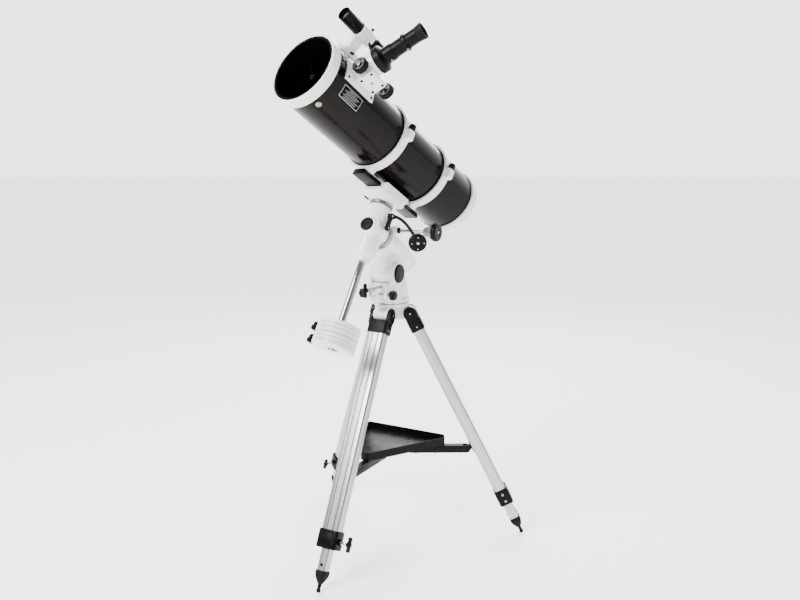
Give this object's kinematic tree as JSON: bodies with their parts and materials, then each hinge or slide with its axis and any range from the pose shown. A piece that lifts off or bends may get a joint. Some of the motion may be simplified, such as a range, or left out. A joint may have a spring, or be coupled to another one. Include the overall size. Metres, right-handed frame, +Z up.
{
  "type": "telescope on tripod",
  "caption": "Reflecting telescope in two hinged rings on a small equatorial mount with counterweights, slow-motion knobs and a folding aluminium tripod with an accessory tray.",
  "frame": {"origin": "on the ground, below the middle of the bounding box of the whole telescope", "axes": "+Z up; one leg points within a degree of +X, one forwards and left towards -Y, one backwards and left towards +Y; the tube points up towards -X and -Y"},
  "size_m": [0.6886, 0.6882, 1.4742],
  "materials": {
    "white_casting": "gloss white paint over cast aluminium",
    "white_iron": "satin white paint over cast iron",
    "tube_lacquer": "gloss black lacquer over rolled steel",
    "leg_aluminium": "satin anodised extrusion",
    "black_plastic": "fine-grained moulding",
    "black_metal": "satin black powder coat",
    "black_anodised": "satin black anodising",
    "chrome_steel": "polished plating",
    "silver_metal": "brushed",
    "mirror_glass": "first-surface coating on glass"
  },
  "bodies": {
    "head": {"tripod_head": "white_casting"},
    "tray": {"tray": "black_metal"},
    "leg_right": {"leg_bracket_right": "black_plastic", "leg_upper_right": "leg_aluminium", "leg_collar_right": "black_plastic"},
    "foot_right": {"leg_lower_right": "leg_aluminium"},
    "leg_knob_right": {"leg_knob_right": "black_plastic"},
    "brace_right": {"brace_arm_right": "black_metal"},
    "leg_front": {"leg_bracket_front": "black_plastic", "leg_upper_front": "leg_aluminium", "leg_collar_front": "black_plastic"},
    "foot_front": {"leg_lower_front": "leg_aluminium"},
    "leg_knob_front": {"leg_knob_front": "black_plastic"},
    "brace_front": {"brace_arm_front": "black_metal"},
    "leg_rear": {"leg_bracket_rear": "black_plastic", "leg_upper_rear": "leg_aluminium", "leg_collar_rear": "black_plastic"},
    "foot_rear": {"leg_lower_rear": "leg_aluminium"},
    "leg_knob_rear": {"leg_knob_rear": "black_plastic"},
    "brace_rear": {"brace_arm_rear": "black_metal"},
    "base": {"azimuth_base": "white_casting", "latitude_axle": "black_metal"},
    "azimuth_bolt_right": {"azimuth_bolt_right": "black_plastic"},
    "azimuth_bolt_left": {"azimuth_bolt_left": "black_plastic"},
    "latitude_bolt_front": {"latitude_bolt_front": "black_metal"},
    "latitude_bolt_rear": {"latitude_bolt_rear": "black_metal"},
    "polar_unit": {"polar_housing": "white_casting"},
    "polar_circle": {"polar_circle": "silver_metal"},
    "polar_slow_knob": {"polar_slow_knob": "black_plastic"},
    "declination_unit": {"dec_housing": "white_casting", "dec_flex_shaft": "black_plastic", "counterweight_shaft": "chrome_steel"},
    "dec_circle": {"dec_circle": "silver_metal"},
    "dec_slow_knob": {"dec_slow_knob": "black_plastic"},
    "dec_lock_lever": {"dec_lock_lever": "black_plastic"},
    "weight_lower": {"counterweight_lower": "white_iron"},
    "weight_upper": {"counterweight_upper": "white_iron"},
    "weight_knob_lower": {"counterweight_knob_lower": "black_plastic"},
    "weight_knob_upper": {"counterweight_knob_upper": "black_plastic"},
    "saddle": {"saddle": "white_casting"},
    "saddle_knob": {"saddle_knob": "black_plastic"},
    "cradle": {"dovetail_bar": "black_anodised", "ring_lower_front": "white_casting", "ring_lower_rear": "white_casting"},
    "ring_upper_front": {"ring_upper_front": "white_casting"},
    "ring_upper_rear": {"ring_upper_rear": "white_casting"},
    "ring_knob_front": {"ring_knob_front": "black_plastic"},
    "ring_knob_rear": {"ring_knob_rear": "black_plastic"},
    "tube": {"tube_shell": "tube_lacquer", "front_ring": "white_casting", "rear_cell": "white_casting", "primary_mirror": "mirror_glass", "spider": "black_metal", "secondary_mirror": "mirror_glass", "focuser_body": "white_casting", "finder_bracket": "white_casting"},
    "drawtube": {"drawtube": "black_anodised"},
    "focus_knobs": {"focus_knobs": "silver_metal"},
    "eyepiece": {"eyepiece": "black_anodised"},
    "finder": {"finder": "black_anodised"}
  },
  "joints": [
    {"name": "leg_right_fold", "type": "hinge", "parent": "head", "child": "leg_right", "pos_m": [-0.00086, 0.00418, 0.6786], "axis": [-0.0175, 0.9998, 0], "range_deg": [0, 18]},
    {"name": "brace_right_fold", "type": "hinge", "parent": "leg_right", "child": "brace_right", "pos_m": [0.16812, 0.00713, 0.268], "axis": [-0.0175, 0.9998, 0], "range_deg": [-97, 0]},
    {"name": "leg_right_extend", "type": "slide", "parent": "leg_right", "child": "foot_right", "axis": [0.4493, 0.0078, -0.8934], "range_m": [0, 0.4]},
    {"name": "leg_knob_right_turn", "type": "hinge", "parent": "leg_right", "child": "leg_knob_right", "pos_m": [0.27842, 0.06906, 0.12114], "axis": [-0.0175, 0.9998, 0], "continuous": true},
    {"name": "leg_front_fold", "type": "hinge", "parent": "head", "child": "leg_front", "pos_m": [-0.07658, -0.04132, 0.6786], "axis": [0.8746, -0.4848, 0], "range_deg": [0, 18]},
    {"name": "brace_front_fold", "type": "hinge", "parent": "leg_front", "child": "brace_front", "pos_m": [-0.15852, -0.18914, 0.268], "axis": [0.8746, -0.4848, 0], "range_deg": [-97, 0]},
    {"name": "leg_front_extend", "type": "slide", "parent": "leg_front", "child": "foot_front", "axis": [-0.2178, -0.393, -0.8934], "range_m": [0, 0.4]},
    {"name": "leg_knob_front_turn", "type": "hinge", "parent": "leg_front", "child": "leg_knob_front", "pos_m": [-0.16003, -0.31563, 0.12114], "axis": [0.8746, -0.4848, 0], "continuous": true},
    {"name": "leg_rear_fold", "type": "hinge", "parent": "head", "child": "leg_rear", "pos_m": [-0.07812, 0.047, 0.6786], "axis": [-0.8572, -0.515, 0], "range_deg": [0, 18]},
    {"name": "brace_rear_fold", "type": "hinge", "parent": "leg_rear", "child": "brace_rear", "pos_m": [-0.16517, 0.19187, 0.268], "axis": [-0.8572, -0.515, 0], "range_deg": [-97, 0]},
    {"name": "leg_rear_extend", "type": "slide", "parent": "leg_rear", "child": "foot_rear", "axis": [-0.2314, 0.3851, -0.8934], "range_m": [0, 0.4]},
    {"name": "leg_knob_rear_turn", "type": "hinge", "parent": "leg_rear", "child": "leg_knob_rear", "pos_m": [-0.27396, 0.25643, 0.12114], "axis": [-0.8572, -0.515, 0], "continuous": true},
    {"name": "tray_lift_off", "type": "slide", "parent": "head", "child": "tray", "axis": [-0.9998, -0.0175, 0], "range_m": [0, 0.55]},
    {"name": "azimuth_turn", "type": "hinge", "parent": "head", "child": "base", "pos_m": [-0.05186, 0.00329, 0.715], "axis": [0, 0, 1], "range_deg": [-3.5, 3.5]},
    {"name": "azimuth_bolt_right_screw", "type": "slide", "parent": "base", "child": "azimuth_bolt_right", "axis": [0.8695, -0.4939, 0], "range_m": [-0.005, 0.005]},
    {"name": "azimuth_bolt_left_screw", "type": "slide", "parent": "base", "child": "azimuth_bolt_left", "axis": [0.8695, -0.4939, 0], "range_m": [-0.005, 0.005]},
    {"name": "latitude_tilt", "type": "hinge", "parent": "base", "child": "polar_unit", "pos_m": [-0.06766, -0.02454, 0.796], "axis": [-0.8695, 0.4939, 0], "range_deg": [-12, 15]},
    {"name": "latitude_bolt_front_screw", "type": "slide", "parent": "base", "child": "latitude_bolt_front", "axis": [-0.4939, -0.8695, 0], "range_m": [-0.008, 0.0095]},
    {"name": "latitude_bolt_rear_screw", "type": "slide", "parent": "base", "child": "latitude_bolt_rear", "axis": [-0.4939, -0.8695, 0], "range_m": [-0.008, 0.0095]},
    {"name": "polar_circle_turn", "type": "hinge", "parent": "polar_unit", "child": "polar_circle", "pos_m": [-0.10182, -0.08466, 0.92148], "axis": [-0.4234, -0.7453, 0.515], "continuous": true},
    {"name": "polar_slow_motion", "type": "hinge", "parent": "polar_unit", "child": "polar_slow_knob", "pos_m": [-0.01661, -0.05614, 0.91629], "axis": [0.8695, -0.4939, 0], "continuous": true},
    {"name": "polar_axis", "type": "hinge", "parent": "polar_unit", "child": "declination_unit", "pos_m": [-0.10182, -0.08466, 0.92148], "axis": [-0.4234, -0.7453, 0.515], "range_deg": [-45, 90]},
    {"name": "dec_circle_turn", "type": "hinge", "parent": "declination_unit", "child": "dec_circle", "pos_m": [-0.08116, -0.05498, 0.98141], "axis": [0.2951, 0.4241, 0.8562], "continuous": true},
    {"name": "dec_slow_motion", "type": "hinge", "parent": "declination_unit", "child": "dec_slow_knob", "pos_m": [0.01245, -0.20903, 0.90902], "axis": [0.1329, -0.9661, -0.2212], "continuous": true},
    {"name": "dec_lock", "type": "hinge", "parent": "declination_unit", "child": "dec_lock_lever", "pos_m": [-0.05971, -0.08349, 0.95778], "axis": [0.8565, -0.5145, -0.0404], "range_deg": [-30, 30]},
    {"name": "weight_lower_slide", "type": "slide", "parent": "declination_unit", "child": "weight_lower", "axis": [0.2951, 0.4241, 0.8562], "range_m": [0, 0.06]},
    {"name": "weight_upper_slide", "type": "slide", "parent": "weight_lower", "child": "weight_upper", "axis": [0.2951, 0.4241, 0.8562], "range_m": [0, 0.04]},
    {"name": "weight_knob_lower_turn", "type": "hinge", "parent": "weight_lower", "child": "weight_knob_lower", "pos_m": [-0.25088, -0.19415, 0.64049], "axis": [0.8565, -0.5145, -0.0404], "continuous": true},
    {"name": "weight_knob_upper_turn", "type": "hinge", "parent": "weight_upper", "child": "weight_knob_upper", "pos_m": [-0.24049, -0.17923, 0.67063], "axis": [0.8565, -0.5145, -0.0404], "continuous": true},
    {"name": "dec_axis", "type": "hinge", "parent": "declination_unit", "child": "saddle", "pos_m": [-0.07851, -0.05116, 0.98912], "axis": [0.2951, 0.4241, 0.8562], "continuous": true},
    {"name": "saddle_knob_turn", "type": "hinge", "parent": "saddle", "child": "saddle_knob", "pos_m": [-0.11559, 0.00016, 1.01327], "axis": [0.773, -0.6327, 0.047], "continuous": true},
    {"name": "dovetail_slide", "type": "slide", "parent": "saddle", "child": "cradle", "axis": [-0.5617, -0.648, 0.5145], "range_m": [-0.05, 0.05]},
    {"name": "ring_front_open", "type": "hinge", "parent": "cradle", "child": "ring_upper_front", "pos_m": [-0.16992, 0.02005, 1.16171], "axis": [-0.5617, -0.648, 0.5145], "range_deg": [0, 100]},
    {"name": "ring_knob_front_turn", "type": "hinge", "parent": "ring_upper_front", "child": "ring_knob_front", "pos_m": [-0.00249, -0.117, 1.17189], "axis": [0.2951, 0.4241, 0.8562], "continuous": true},
    {"name": "ring_rear_open", "type": "hinge", "parent": "cradle", "child": "ring_upper_rear", "pos_m": [-0.05758, 0.14964, 1.05882], "axis": [-0.5617, -0.648, 0.5145], "range_deg": [0, 100]},
    {"name": "ring_knob_rear_turn", "type": "hinge", "parent": "ring_upper_rear", "child": "ring_knob_rear", "pos_m": [0.10984, 0.01259, 1.06899], "axis": [0.2951, 0.4241, 0.8562], "continuous": true},
    {"name": "tube_turn", "type": "hinge", "parent": "cradle", "child": "tube", "pos_m": [-0.03395, 0.01287, 1.1184], "axis": [-0.5617, -0.648, 0.5145], "continuous": true},
    {"name": "drawtube_rack", "type": "slide", "parent": "tube", "child": "drawtube", "axis": [0.8107, -0.307, 0.4984], "range_m": [0, 0.035]},
    {"name": "focus_knobs_turn", "type": "hinge", "parent": "tube", "child": "focus_knobs", "pos_m": [-0.09792, -0.24267, 1.30984], "axis": [-0.5617, -0.648, 0.5145], "range_deg": [-275, 5]},
    {"name": "eyepiece_pull", "type": "slide", "parent": "drawtube", "child": "eyepiece", "axis": [0.8107, -0.307, 0.4984], "range_m": [0, 0.03]},
    {"name": "finder_aim", "type": "hinge", "parent": "tube", "child": "finder", "pos_m": [-0.11738, -0.18124, 1.4165], "axis": [0.5654, -0.7546, -0.3331], "range_deg": [-1.5, 1.5]}
  ],
  "couplings": [
    {"joint": "brace_right_fold", "follows": "leg_right_fold", "ratio": -5.3333},
    {"joint": "leg_front_fold", "follows": "leg_right_fold", "ratio": 1},
    {"joint": "brace_front_fold", "follows": "leg_right_fold", "ratio": -5.3333},
    {"joint": "leg_rear_fold", "follows": "leg_right_fold", "ratio": 1},
    {"joint": "brace_rear_fold", "follows": "leg_right_fold", "ratio": -5.3333},
    {"joint": "tray_lift_off", "follows": "leg_right_fold", "m_per_rad": 1.75},
    {"joint": "azimuth_bolt_right_screw", "follows": "azimuth_turn", "m_per_rad": -0.076},
    {"joint": "azimuth_bolt_left_screw", "follows": "azimuth_turn", "m_per_rad": -0.076},
    {"joint": "latitude_bolt_front_screw", "follows": "latitude_tilt", "m_per_rad": 0.034},
    {"joint": "latitude_bolt_rear_screw", "follows": "latitude_tilt", "m_per_rad": 0.034},
    {"joint": "focus_knobs_turn", "follows": "drawtube_rack", "rad_per_m": -135.14}
  ]
}
